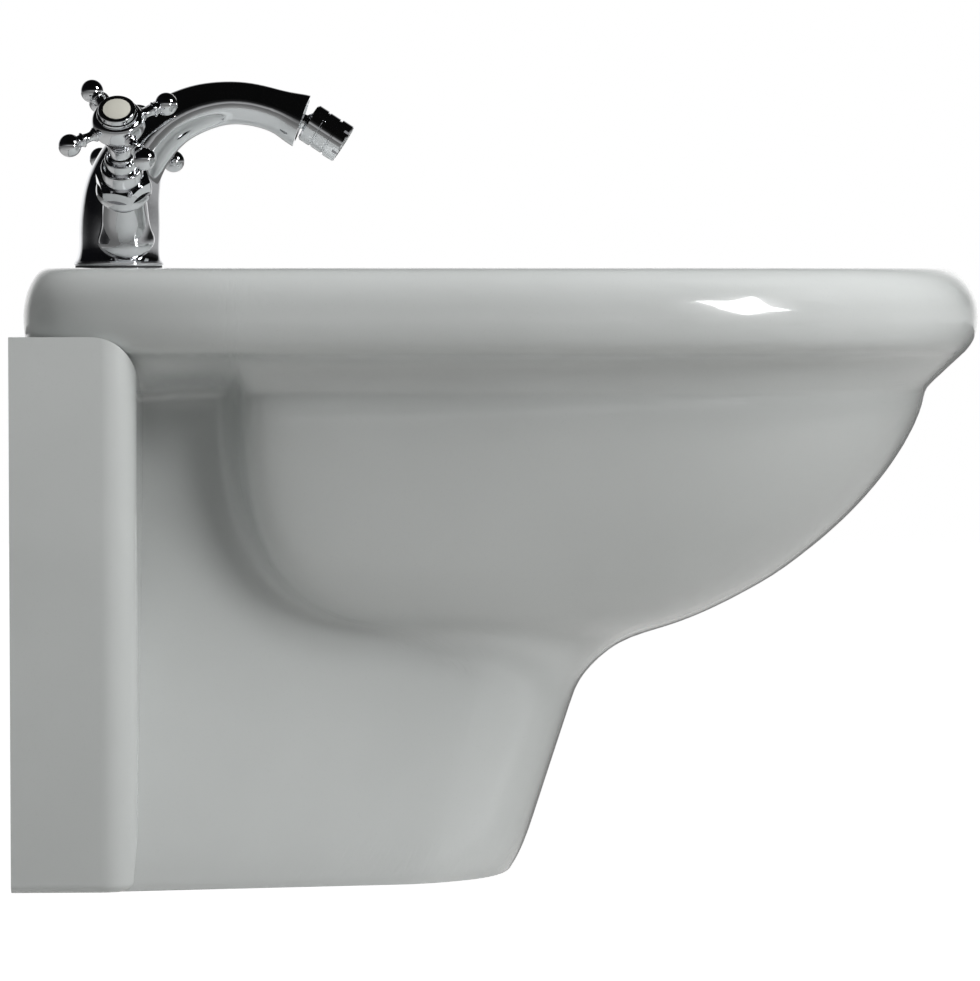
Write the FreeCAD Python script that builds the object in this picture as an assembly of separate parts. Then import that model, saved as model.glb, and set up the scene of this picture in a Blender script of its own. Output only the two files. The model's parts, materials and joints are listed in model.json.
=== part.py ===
"""Wall-hung bidet with a one-hole mixer tap, as separate pieces, in millimetres.

x runs out of the wall, y to the left and z up. The origin lies on the wall
plane, midway between the two wall studs.
"""
import FreeCAD, Part
import math
import os
from FreeCAD import Vector

# China body: overall sizes
PROJECTION = 520.0          # wall to the front of the rim
RIM_WIDTH = 380.0
BODY_HEIGHT = 326.6
STUD_DROP = 85.0            # deck down to the wall studs
STUD_SPACING = 180.0
STUD_HOLE = 16.0

# China body: rim
DECK_EDGE = 20.0            # flat deck stops this far inside the rim
DECK_ROUND = 11.0           # start of the rounding from the deck into the rim's sides
NOSE_ROUND = 14.5           # the same, at the front
RIM_BULGE = 46.0            # height of the rounded rim
COVE_DROP = 66.0            # deck down to the crease under the rim
COVE_INSET = 28.6           # crease this far inside the rim
RIM_REAR = 2.0              # rim's back stays this far off the wall
REAR_ROUND = 0.65           # share of the side's rounding that the rim's back has
REAR_CORNER = 40.0          # rounding of the rim's rear corners, in plan
REAR_TAPER = 28.0           # the rim's sides close this much towards the wall
REAR_RUN = 122.0            # over this distance from it
NOSE_START = 285.0          # where the rim's sides begin to close

# China body: flange on the wall
FLANGE_DEPTH = 65.0
FLANGE_WIDTH = 378.0        # at the wall
FLANGE_DRAFT = 2.0          # each side closes this much towards the front
FLANGE_CORNER = 18.0        # rounding of the front edges, in plan
FLANGE_DROP = 36.0          # deck down to the flange's top
FLANGE_SHOULDER = 22.0       # rounding of the front's upper edge
FLANGE_FOOT = 5.0           # rounding of the lower edge

# China body: bowl, recess and column
BOWL_BACK = 118.0
BACK_RUNOUT = 232.0         # where the bowl's back edge runs out on the column
SIDE_DROP = 196.0           # deck down to the crease under the bowl's sides
NECK_DROP = 208.0           # the same, at the front
WAIST_WIDTH = 220.0
RECESS_DROP = 54.0          # deck down to the top of the recess behind the bowl
WAIST_FALL = 16.0           # height over which that recess opens
BOWL_SHOULDER = 4.5         # swell of the bowl's sides below the crease
SHOULDER_FALL = 0.12        # share of the way down to the fullest swell
NECK_REACH = 305.5
NECK_FLAT = 128.0           # width of the column's front, at its top
COLUMN_CORNER = 48.0        # reach of the rounding on the column's front corners
FOOT_REACH = 265.0
FOOT_WIDTH = 340.0
FOOT_FLAT = 176.0
FOOT_EDGE = 3.0             # drawn in at the lower edge
FOOT_FLARE = 1.3            # power of the column's widening towards the foot
COLUMN_TAPER = 0.19         # the column's sides close this much per millimetre forward
BACK_POWER = 2.95           # superellipse of the bowl's back edge
SIDE_POWER = 2.3            # superellipse of the bowl's sides
BOWL_POWER = 1.55           # superellipse of the bowl's front

# China body: basin and hollow back
WALL = 12.0
DECK_THICKNESS = 18.0
BASIN_BACK = 116.0
BASIN_FRONT = 478.0
BASIN_WIDTH = 296.0
BASIN_DEPTH = 130.0
BASIN_LIP = 9.0
BASIN_POWER = 2.7           # superellipse of the basin's walls
DRAIN_X = 236.0
DRAIN_FLAT = 96.0           # round floor about the drain
DRAIN_HOLE = 46.0
DRAIN_THICKNESS = 30.0
WINDOW_WIDTH = 210.0        # opening in the back for pipes
WINDOW_DROP = 140.0         # deck down to that opening
OVERFLOW_HOLE = 24.0
OVERFLOW_DROP = 46.0
CHANNEL_X = 97.0            # overflow channel behind the basin
CHANNEL_BORE = 16.0
CHANNEL_WALL = 6.0

# Tap: base and spout
TAP_X = 42.5                # tap's axis to the wall
TAP_HOLE = 35.0
BASE_WIDTH = 50.0
BASE_HEIGHT = 2.4
BASE_EDGE = 0.8
GASKET = 1.2
SPOUT_DIP = 20.0            # spout's end below level, degrees
SPOUT_LINE = [              # reach from the tap's axis, height above the deck, width
    (0.0, 3.6, 48.6), (0.2, 7.0, 46.0), (0.5, 18.0, 45.2), (0.9, 30.0, 44.6), (2.0, 41.0, 42.8),
    (5.2, 52.5, 39.2), (10.4, 62.8, 35.6), (22.0, 76.0, 31.2), (36.0, 85.2, 27.8), (56.0, 91.4, 24.8),
    (68.5, 91.8, 23.7), (80.5, 89.8, 23.5), (92.0, 86.2, 25.2), (102.5, 81.8, 30.0)]
SOCKET_BORE = 18.0          # thread in the spout's end
SOCKET_DEPTH = 14.0
SPOUT_MOUTH = 25.0          # bevelled mouth of the spout's end
MOUTH_DEPTH = 2.5
INLET_BORE = 10.0
INLET_DEPTH = 14.0
INLET_SPACING = 17.0
INLET_FORWARD = 3.5         # inlets ahead of the tap's axis
TAP_STUD = 8.0
TAP_STUD_BACK = 11.5        # stud behind the tap's axis
TAP_STUD_LENGTH = 62.0
TAP_STUD_GRIP = 14.0        # length inside the tap
CLAMP_WIDTH = 48.0
CLAMP_SLOT = 29.0
CLAMP_THICKNESS = 3.0
TAP_NUT_FLATS = 13.0
TAP_NUT_HEIGHT = 6.5

# Tap: valves, measured along each valve's axis from where the axes meet
BRANCH_X = 47.8
BRANCH_HEIGHT = 17.0        # meeting point above the deck
BRANCH_RISE = 42.0          # degrees above level
BULB_RADIUS = 16.0
BULB_FOOT = 10.5            # widest part down to the branch's foot
BULB_SIDE = 15.5            # widest part beside the tap's axis
BULB_HEIGHT = 15.5          # widest part above the deck
BOSS_RADIUS = 12.0
BOSS_END = 35.3
VALVE_BORE = 16.0
VALVE_FLOOR = 16.6
VALVE_THREAD = 19.0
VALVE_THREAD_LENGTH = 10.0
BONNET_FLATS = 27.0
BONNET_COLLAR = 6.0
BONNET_HEX = 7.6
BONNET_TURN = -12.5         # degrees, the hexagon about its axis
BONNET_TIER = 11.6          # radius of the drum over the hexagon
BONNET_TOP = 67.8
SPINDLE = 8.0
SCREW_DEPTH = 12.0          # thread for the handle screw in the spindle
DISC_THICKNESS = 3.0
FIT = 0.05                  # radial running clearance
GAP = 0.3                   # clearance between curved faces that pass

# Tap: cross handles
HUB_START = 68.6
HUB_RADIUS = 14.8
ARM_LEVEL = 90.7
ARM_REACH = 29.8            # hub's axis to a ball's centre
BALL = 12.6
HOT_TURN = 31.5             # how each cross stands when shut, degrees
COLD_TURN = 48.0
ARMS = 4
CAP_RADIUS = 11.0
CAP_HEIGHT = 5.0
INDEX_DISC = 15.0
HUB_TOP = 98.5

# Tap: swivel aerator
SWIVEL_REACH = 7.8          # ball's centre beyond the spout's end
SWIVEL_BALL = 14.4
SWIVEL_NECK = 8.6
SWIVEL_BORE = 5.0
SEAT_THICKNESS = 1.3
SEAT_BACK = 1.5
SEAT_FRONT = 3.5
AERATOR_DIP = 33.0          # axis below level, degrees
AERATOR_WIDTH = 22.4
AERATOR_BACK = 4.4          # housing behind the ball's centre
AERATOR_LENGTH = 23.4
AERATOR_BORE = 18.8
AERATOR_LIP = 0.6           # insert sits this far inside the end
AERATOR_GROOVE = 0.7
AERATOR_NOTCHES = 6

# Waste
WASTE_FLANGE = 63.0
WASTE_FLANGE_HEIGHT = 3.0
WASTE_TUBE = 41.9
WASTE_WALL = 2.4
WASTE_LENGTH = 72.0
WASTE_TAIL = 24.0           # thread for the trap
WASTE_RELIEF = 2.0          # groove over that thread
SEAL = 2.0
WASTE_NUT = 58.0
WASTE_NUT_HEIGHT = 9.0
WASTE_BAR_DROP = 40.0       # crossbar below the basin's floor
WASTE_BAR = 4.0
PLUG = 56.0
PLUG_HEIGHT = 5.0
PLUG_SLEEVE = 24.0
PLUG_SLEEVE_LENGTH = 20.0
CARTRIDGE = 20.0
CARTRIDGE_TOP = 6.0         # below the basin's floor
CARTRIDGE_SHANK = 8.0
OVERFLOW_RING = 31.0
OVERFLOW_RING_HEIGHT = 2.0
OVERFLOW_SEAT = 2.5         # flat for that ring, ahead of the basin's back

# Wall fixing
STUD = 12.0
SLEEVE_FLANGE = 28.0
SLEEVE_LIP = 2.0
WASHER = 30.0
WASHER_THICKNESS = 2.5
NUT_FLATS = 19.0
NUT_HEIGHT = 10.0


def deck_z():
    """Height of the deck above the wall studs."""
    return STUD_DROP


def blend(first, second, share):
    """Point between two plan points."""
    return (first[0] + (second[0] - first[0]) * share,
            first[1] + (second[1] - first[1]) * share)


def power(value, exponent):
    """Power that stays at zero for round-off below zero."""
    return max(value, 0.0) ** exponent


def net_surface(rows, closed=False):
    """Cubic surface over rows of control points, clamped from first to last row."""
    def clamped(count):
        return [4] + [1] * (count - 4) + [4]
    row_mults = clamped(len(rows))
    row_knots = list(range(len(row_mults)))
    if closed:
        column_mults = [1] * (len(rows[0]) + 1)
    else:
        column_mults = clamped(len(rows[0]))
    column_knots = list(range(len(column_mults)))
    surface = Part.BSplineSurface()
    surface.buildFromPolesMultsKnots(
        rows, row_mults, column_mults, row_knots, column_knots, False, closed, 3, 3)
    return surface.toShape()


def planar_face(edges):
    """Flat face inside a ring of edges."""
    wire = Part.Wire(Part.__sortEdges__(edges))
    return Part.Face(wire)


def solid_of(faces):
    """Closed solid from the faces that bound it."""
    solid = Part.Solid(Part.Shell(faces))
    solid.fix(1e-4, 1e-4, 1e-4)
    if solid.Volume < 0:
        solid.reverse()
    return solid


# The china skin is a closed net of control points: rows run from the deck down to
# the foot, and each row runs round the plan outline. Half of a row goes from the
# middle of the back, round the rear corner and along the side to the front.

def side_places():
    """Distances from the wall of the side's points, about the bowl's back edge."""
    gap = BOWL_BACK - FLANGE_DEPTH
    recess = [FLANGE_DEPTH + gap * share for share in (0.1, 0.5, 0.8)]
    edge = [BOWL_BACK + gap * share for share in (-0.07, 0.0, 0.09, 0.45)]
    run = NOSE_START - edge[-1]
    return recess + edge + [edge[-1] + run * share for share in (0.35, 0.7)] + [NOSE_START]


def rim_outline(front_inset, side_inset):
    """Half outline of the rim, drawn in at the front and at the sides."""
    side = RIM_WIDTH / 2 - side_inset
    front = PROJECTION - front_inset
    rear = RIM_REAR + front_inset * REAR_ROUND
    corner = REAR_CORNER
    nose = front - NOSE_START

    def half(x):
        return side - REAR_TAPER * power(1 - x / REAR_RUN, 2)

    turn = half(rear)
    back = [(rear, 0.0), (rear, turn * 0.4), (rear, turn - corner), (rear, turn - corner * 0.35),
            (rear + corner * 0.35, half(rear + corner * 0.35)), (rear + corner, half(rear + corner))]
    sides = [(x, half(x)) for x in side_places()]
    tip = [(NOSE_START + nose * 0.6, side * 0.94), (front, side * 0.55), (front, 0.0)]
    return back + sides + tip


def rim_rows():
    """Rows of the rounded rim and the cove under it, as (drop, half outline)."""
    fall = COVE_DROP - RIM_BULGE
    profile = [(0.0, DECK_EDGE, DECK_EDGE), (0.0, NOSE_ROUND, DECK_ROUND),
               (RIM_BULGE * 0.14, NOSE_ROUND * 0.45, DECK_ROUND * 0.3),
               (RIM_BULGE * 0.4, NOSE_ROUND * 0.04, 0.0), (RIM_BULGE * 0.66, 0.0, 0.0)]
    lip = [(RIM_BULGE * 0.85, 0.07, 0.03), (RIM_BULGE * 0.96, 0.2, 0.17), (RIM_BULGE, 0.25, 0.42),
           (RIM_BULGE + fall * 0.15, 0.36, 0.7), (RIM_BULGE + fall * 0.5, 0.62, 0.86),
           (RIM_BULGE + fall * 0.85, 0.885, 0.93), (COVE_DROP, 0.98, 0.98)]
    profile += [(drop, COVE_INSET * front, COVE_INSET * side) for drop, front, side in lip]
    rows = []
    for drop, front, side in profile:
        row = [(x, y, drop) for x, y in rim_outline(front, side)]
        first = len(row) - len(side_places()) - 3
        rows.append(row[:first] + recessed(row[first:], drop))
    return rows


def recessed(points, drop):
    """Side of a row, drawn in to the column behind the bowl's back edge."""
    outer = points[6][1]
    for place, out in ((0, 0.0), (1, 0.0), (2, 0.04), (3, 0.28), (4, 0.62), (5, 0.89)):
        x, y, level = points[place]
        inner = column_half(x, drop)
        points[place] = (x, min(y, inner + max(outer - inner, 0.0) * out), level)
    return points


def waist_half(drop):
    """Half width of the recess behind the bowl at a depth below the deck."""
    if drop < RECESS_DROP:
        return RIM_WIDTH / 2
    cove_half = RIM_WIDTH / 2 - COVE_INSET
    opening = min((drop - RECESS_DROP) / WAIST_FALL, 1.0)
    upper = cove_half + (WAIST_WIDTH / 2 - cove_half) * math.sin(opening * math.pi / 2)
    start = RECESS_DROP + WAIST_FALL
    lower = power((drop - start) / (BODY_HEIGHT - start), FOOT_FLARE)
    return upper + (FOOT_WIDTH / 2 - WAIST_WIDTH / 2) * lower


def column_half(x, drop):
    """Half width of the column's side at a distance from the wall."""
    return waist_half(drop) - COLUMN_TAPER * (x - BOWL_BACK)


def back_points(drop):
    """Rear part of a half outline below the rim, hidden in the flange."""
    half = waist_half(drop)
    return [(RIM_REAR, 0.0, drop), (RIM_REAR, half * 0.4, drop), (RIM_REAR, half * 0.75, drop),
            (RIM_REAR, half * 0.95, drop), (FLANGE_DEPTH * 0.2, half, drop),
            (FLANGE_DEPTH * 0.6, column_half(FLANGE_DEPTH * 0.6, drop), drop)]


def column_row(share):
    """Half outline of the column, from its neck at share 0 down to its foot at share 1."""
    reach = NECK_REACH + (FOOT_REACH - NECK_REACH) * share
    flat = (NECK_FLAT + (FOOT_FLAT - NECK_FLAT) * share) / 2
    corner = reach - COLUMN_CORNER
    start = FLANGE_DEPTH + (BOWL_BACK - FLANGE_DEPTH) * 0.1
    runout = BACK_RUNOUT + (corner * 0.8 - BACK_RUNOUT) * share
    edges = [start + (runout - start) * part for part in (0.0, 0.42, 0.75, 0.9, 1.0)]
    edges += [runout + (corner - runout) * part for part in (0.3, 0.65, 1.0)]

    def level(part):
        top = SIDE_DROP + (NECK_DROP - SIDE_DROP) * part
        return top + (BODY_HEIGHT - top) * share

    points = [(x, column_half(x, level(0.0)), level(0.0)) for x in edges]
    turn = points[-1][1]
    points.append((corner + COLUMN_CORNER * 0.45, flat + (turn - flat) * 0.8, level(0.15)))
    points.append((reach - COLUMN_CORNER * 0.17, flat + (turn - flat) * 0.5, level(0.35)))
    points.append((reach, flat, level(0.65)))
    points.append((reach, flat * 0.45, level(0.9)))
    points.append((reach, 0.0, level(1.0)))
    return back_points(level(0.0)) + points


def superellipse(fall, exponent):
    """Share of the way in at a share of the way down a rounded wall."""
    return 1 - power(1 - power(fall, exponent), 1 / exponent)


def bowl_row(fall):
    """Half outline of the bowl at a share of the way from the crease to its foot."""
    crease = rim_outline(COVE_INSET, COVE_INSET)
    neck = column_row(0.0)
    drop = COVE_DROP + (SIDE_DROP - COVE_DROP) * fall
    rear = back_points(drop)
    first = len(rear)
    back = superellipse(fall, BACK_POWER)
    side = superellipse(fall, SIDE_POWER)
    front = superellipse(fall, BOWL_POWER)
    swell = BOWL_SHOULDER * fall / SHOULDER_FALL * math.exp(1 - fall / SHOULDER_FALL)
    points = []
    for index in range(first, len(crease)):
        place = index - first
        x_share, y_share, part = back, side, 0.0
        if place > 6:
            part = (place - 6) / (len(crease) - first - 7)
            x_share = back + (front - back) * math.sqrt(part)
            y_share = side + (front - side) * part
        x = blend(crease[index], neck[index], x_share)[0]
        y = blend(crease[index], neck[index], y_share)[1] + swell * (1 - part)
        level = drop if place < 6 else COVE_DROP + (neck[index][2] - COVE_DROP) * fall
        points.append((x, y, level))
    return rear + recessed(points, drop)


def china_net():
    """Rows of control points of the whole outer skin, all the way round."""
    halves = rim_rows()
    halves += [bowl_row(fall) for fall in (0.02, 0.06, 0.13, 0.25, 0.4, 0.55, 0.69, 0.76, 0.87, 0.94, 0.99)]
    halves += [column_row(share) for share in (0.16, 0.27, 0.38, 0.56, 0.76, 0.93)]
    halves.append([(x - FOOT_EDGE if x > FLANGE_DEPTH else x, max(y - FOOT_EDGE, 0.0), drop)
                   for x, y, drop in column_row(1.0)])
    net = []
    for half in halves:
        left = [Vector(x, y, deck_z() - drop) for x, y, drop in half]
        right = [Vector(p.x, -p.y, p.z) for p in reversed(left[1:-1])]
        net.append(left + right)
    return net


def capped_solid(net):
    """Solid inside a closed net whose first and last rows are level."""
    skin = net_surface(net, closed=True)
    rings = [edge for edge in skin.Edges if edge.BoundBox.ZLength < 0.01]
    caps = [planar_face([ring]) for ring in rings]
    return solid_of([skin] + caps)


def drawn_in(net, depth):
    """Net moved inwards along its normals."""
    moved_net = []
    for i, row in enumerate(net):
        above = net[max(i - 1, 0)]
        below = net[min(i + 1, len(net) - 1)]
        points = []
        for j, point in enumerate(row):
            along = row[(j + 1) % len(row)].sub(row[j - 1])
            normal = along.cross(below[j].sub(above[j]))
            normal.normalize()
            points.append(point.sub(normal * depth))
        moved_net.append(points)
    return moved_net


def shoulder_waste():
    """What the rounding of the flange's upper front edge takes off, along the whole width."""
    top = BODY_HEIGHT - FLANGE_DROP
    corner = block(Vector(FLANGE_DEPTH - FLANGE_SHOULDER, -FLANGE_WIDTH, top - FLANGE_SHOULDER),
                   Vector(FLANGE_DEPTH + WALL, FLANGE_WIDTH, top + WALL))
    centre = Vector(FLANGE_DEPTH - FLANGE_SHOULDER, -FLANGE_WIDTH, top - FLANGE_SHOULDER)
    return corner.cut(Part.makeCylinder(FLANGE_SHOULDER, 2 * FLANGE_WIDTH, centre, Vector(0, 1, 0)))


def flange():
    """Slab on the wall with rounded front edges, under the rim's rear end."""
    half = FLANGE_WIDTH / 2
    front_half = half - FLANGE_DRAFT
    corner = FLANGE_CORNER
    start = FLANGE_DEPTH - corner
    turn = corner * math.sqrt(0.5)
    edges = [Part.makeLine(Vector(0, -half, 0), Vector(0, half, 0))]
    for side in (-1, 1):
        edges.append(Part.makeLine(Vector(0, side * half, 0), Vector(start, side * front_half, 0)))
        edges.append(Part.Arc(Vector(start, side * front_half, 0),
                              Vector(start + turn, side * (front_half - corner + turn), 0),
                              Vector(FLANGE_DEPTH, side * (front_half - corner), 0)).toShape())
    edges.append(Part.makeLine(Vector(FLANGE_DEPTH, corner - front_half, 0),
                               Vector(FLANGE_DEPTH, front_half - corner, 0)))
    slab = planar_face(edges).extrude(Vector(0, 0, BODY_HEIGHT - FLANGE_DROP))
    slab = slab.cut(shoulder_waste())
    lower = [edge for edge in slab.Edges if edge.BoundBox.ZMax < 0.01 and edge.BoundBox.XMax > 1.0]
    slab = slab.makeFillet(FLANGE_FOOT, lower)
    slab.translate(Vector(0, 0, deck_z() - BODY_HEIGHT))
    return slab


def basin_outline(outset):
    """Closed plan outline of the basin's opening, as control points from back to front."""
    back = BASIN_BACK - outset
    front = BASIN_FRONT + outset
    half = BASIN_WIDTH / 2 + outset
    length = front - back
    side = [(back, half * 0.45), (back + length * 0.06, half * 0.93), (back + length * 0.25, half),
            (back + length * 0.5, half), (back + length * 0.78, half * 0.86), (front, half * 0.5)]
    return [(back, 0.0)] + side + [(front, 0.0)] + [(x, -y) for x, y in reversed(side)]


def basin(outset):
    """Solid of the basin's hollow, or of the hollow with its china when outset."""
    centre = (DRAIN_X, 0.0)
    depth = BASIN_DEPTH + outset
    rim = basin_outline(outset)
    floor_r = DRAIN_FLAT / 2 + outset
    floor = []
    for x, y in rim:
        angle = math.atan2(y / (BASIN_WIDTH / 2), (x - (BASIN_BACK + BASIN_FRONT) / 2) / (BASIN_FRONT / 2))
        floor.append((centre[0] + floor_r * math.cos(angle), floor_r * math.sin(angle)))
    lip = basin_outline(outset + BASIN_LIP)
    rows = [(0.0, lip), (0.0, basin_outline(outset + BASIN_LIP * 0.3))]
    for turn in (4.0, 12.0, 24.0, 38.0, 52.0, 66.0, 78.0, 90.0):
        angle = math.radians(turn)
        share = 1 - power(math.cos(angle), 2 / BASIN_POWER)
        drop = depth * power(math.sin(angle), 2 / BASIN_POWER)
        rows.append((drop, [blend(a, b, share) for a, b in zip(rim, floor)]))
    return capped_solid([[Vector(x, y, deck_z() - drop) for x, y in row] for drop, row in rows])


def drum(radius, low, high, x=0.0, y=0.0):
    """Upright cylinder between two heights."""
    return Part.makeCylinder(radius, high - low, Vector(x, y, low))


def rod(radius, start, end):
    """Cylinder from one point to another."""
    run = end.sub(start)
    return Part.makeCylinder(radius, run.Length, start, run)


def block(low, high):
    """Box between two corners."""
    size = high.sub(low)
    return Part.makeBox(size.x, size.y, size.z, low)


def hollow():
    """Space behind and under the basin, open at the back and below."""
    first = len(rim_rows()) + 3
    rows = drawn_in(china_net()[first:], WALL)
    below = deck_z() - BODY_HEIGHT - WALL
    upper = max(point.z for point in rows[0])
    rows[0] = [Vector(p.x, p.y, upper) for p in rows[0]]
    rows.append([Vector(p.x, p.y, below) for p in rows[-1]])
    space = capped_solid(rows)
    pocket_half = WAIST_WIDTH / 2 - WALL
    pocket = block(Vector(WALL + 2 * RIM_REAR, -pocket_half, upper - WALL),
                   Vector(CHANNEL_X, pocket_half, deck_z() - DECK_THICKNESS))
    room_half = FLANGE_WIDTH / 2 - FLANGE_CORNER
    room = block(Vector(WALL, -room_half, below),
                 Vector(FLANGE_DEPTH - WALL, room_half, deck_z() - FLANGE_DROP - 2 * WALL))
    window = block(Vector(-WALL, -WINDOW_WIDTH / 2, below),
                   Vector(2 * WALL, WINDOW_WIDTH / 2, deck_z() - WINDOW_DROP))
    return space.fuse([pocket, room, window])


def overflow_points():
    """Corners of the overflow channel's centre line: inlet, bend and drain."""
    inlet = Vector(CHANNEL_X, 0, deck_z() - OVERFLOW_DROP)
    bend = Vector(CHANNEL_X, 0, drain_z() - DRAIN_THICKNESS / 2)
    return inlet, bend, Vector(DRAIN_X, 0, bend.z)


def drain_z():
    """Height of the basin's floor at the drain."""
    return deck_z() - BASIN_DEPTH


def china_body():
    """The whole casting: skin, basin, hollow back and its holes."""
    inlet, bend, outlet = overflow_points()
    outer = CHANNEL_BORE / 2 + CHANNEL_WALL
    rib = rod(outer, inlet.add(Vector(0, 0, outer)), bend)
    floor_rib = rod(outer, bend, outlet)
    boss = drum(DRAIN_FLAT / 2 - 4.0, drain_z() - DRAIN_THICKNESS, drain_z(), DRAIN_X)
    knee = Part.makeSphere(outer, bend)
    kept = basin(WALL).fuse([rib, floor_rib, boss, knee])
    body = capped_solid(china_net()).fuse(flange()).cut(hollow().cut(kept))
    far = Vector(BASIN_BACK + WALL, 0, inlet.z)
    seat = Vector(BASIN_BACK + OVERFLOW_SEAT, 0, inlet.z)
    bores = [rod(CHANNEL_BORE / 2, inlet, bend), rod(CHANNEL_BORE / 2, bend, outlet),
             Part.makeSphere(CHANNEL_BORE / 2, bend), rod(OVERFLOW_HOLE / 2, inlet, far),
             rod(OVERFLOW_RING / 2 + GAP, seat, far),
             Part.makeSphere(CHANNEL_BORE / 2, inlet),
             drum(DRAIN_HOLE / 2, drain_z() - 2 * DRAIN_THICKNESS, drain_z() + 1.0, DRAIN_X),
             drum(TAP_HOLE / 2, deck_z() - 2 * DECK_THICKNESS, deck_z() + 1.0, TAP_X)]
    for side in (-1, 1):
        stud = Vector(-1, side * STUD_SPACING / 2, 0)
        bores.append(rod(STUD_HOLE / 2, stud, stud.add(Vector(2 * WALL, 0, 0))))
    return body.cut([basin(0.0)] + bores)


def turned(*runs):
    """Solid of revolution about z from runs of (radius, height); three or more points curve."""
    edges = []
    for run in runs:
        points = [Vector(radius, 0, height) for radius, height in run]
        if len(points) == 2:
            edges.append(Part.makeLine(points[0], points[1]))
        else:
            curve = Part.BSplineCurve()
            curve.interpolate(points)
            edges.append(curve.toShape())
    first, last = runs[0][0], runs[-1][-1]
    if first != last:
        edges.append(Part.makeLine(Vector(last[0], 0, last[1]), Vector(first[0], 0, first[1])))
    face = Part.Face(Part.Wire(edges))
    return face.revolve(Vector(0, 0, 0), Vector(0, 0, 1), 360)


def lathe(*points):
    """Solid of revolution about z from straight runs between (radius, height) points."""
    runs = [[points[i], points[i + 1]] for i in range(len(points) - 1)]
    return turned(*runs)


def ring(inner, outer, low, high):
    """Plain ring about z."""
    return lathe((inner, low), (outer, low), (outer, high), (inner, high), (inner, low))


def hexagon(flats, low, high):
    """Hexagonal prism about z."""
    radius = flats / 2 / math.cos(math.pi / 6)
    corners = [Vector(radius * math.cos(math.radians(60 * i)), radius * math.sin(math.radians(60 * i)), low)
               for i in range(7)]
    return Part.Face(Part.makePolygon(corners)).extrude(Vector(0, 0, high - low))


def hex_nut(flats, bore, low, high):
    """Hexagonal nut about z, with its corners turned off."""
    chamfer = flats * 0.06
    corner = flats / 2 / math.cos(math.pi / 6)
    turned_off = lathe((0.0, low), (corner - chamfer, low), (corner, low + chamfer), (corner, high - chamfer),
                       (corner - chamfer, high), (0.0, high), (0.0, low))
    return hexagon(flats, low, high).common(turned_off).cut(drum(bore / 2, low - 1, high + 1))


def moved(shape, origin, axis, across):
    """Copy of a shape built about z, with z laid on axis and x on across."""
    rotation = FreeCAD.Rotation(across, axis.cross(across), axis, "ZXY")
    placed = shape.copy()
    placed.Placement = FreeCAD.Placement(origin, rotation)
    return placed


def dipped(degrees):
    """Unit vector in the middle plane, pointing forward and below level."""
    return Vector(math.cos(math.radians(degrees)), 0, -math.sin(math.radians(degrees)))


def spout_end():
    """Centre of the spout's end face, and the way it points."""
    reach, height, _ = SPOUT_LINE[-1]
    return Vector(TAP_X + reach, 0, deck_z() + height), dipped(SPOUT_DIP)


def spout():
    """Curved horn of the tap, lofted through round sections square to its line."""
    centres = [Vector(TAP_X + reach, 0, deck_z() + height) for reach, height, _ in SPOUT_LINE]
    rings = []
    for i, centre in enumerate(centres):
        if i == 0:
            way = Vector(0, 0, 1)
        elif i == len(centres) - 1:
            way = dipped(SPOUT_DIP)
        else:
            way = centres[i + 1].sub(centres[i - 1])
        rings.append(Part.Wire(Part.makeCircle(SPOUT_LINE[i][2] / 2, centre, way)))
    return Part.makeLoft(rings, True, False)


def valve_axis(side):
    """Start and direction of a valve's axis; side is -1 for hot and 1 for cold."""
    rise = math.radians(BRANCH_RISE)
    return (Vector(BRANCH_X, 0, deck_z() + BRANCH_HEIGHT),
            Vector(0, side * math.cos(rise), math.sin(rise)))


def on_valve(shape, side):
    """Shape built about z, laid on a valve's axis."""
    origin, axis = valve_axis(side)
    return moved(shape, origin, axis, Vector(1, 0, 0))


def branch(side):
    """Pear-shaped branch of the casting that carries one valve."""
    origin, axis = valve_axis(side)
    centre = Vector(BRANCH_X, side * BULB_SIDE, deck_z() + BULB_HEIGHT)
    way = origin.add(axis * BOSS_END).sub(centre)
    length = way.Length + BOSS_RADIUS
    wide = BULB_RADIUS
    foot = BULB_FOOT
    neck = BOSS_RADIUS * 1.03
    pear = turned([(0.0, -foot), (wide * 0.5, -foot * 0.88), (wide * 0.83, -foot * 0.52), (wide, 0.0),
                   (wide * 0.93, wide * 0.3), (wide * 0.84, wide * 0.66), (neck + 0.5, wide * 1.1),
                   (neck, length * 0.6), (neck, length)],
                  [(neck, length), (0.0, length)])
    pear = moved(pear, centre, way.normalize(), Vector(1, 0, 0))
    sleeve = on_valve(drum(BOSS_RADIUS, BOSS_END / 2, BOSS_END), side)
    end = on_valve(drum(3 * BOSS_RADIUS, BOSS_END, BONNET_TOP), side)
    return pear.fuse(sleeve).cut(end)


def bonnet_corner():
    """Radius over the bonnet's hexagon corners."""
    return BONNET_FLATS / 2 / math.cos(math.pi / 6)


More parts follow.
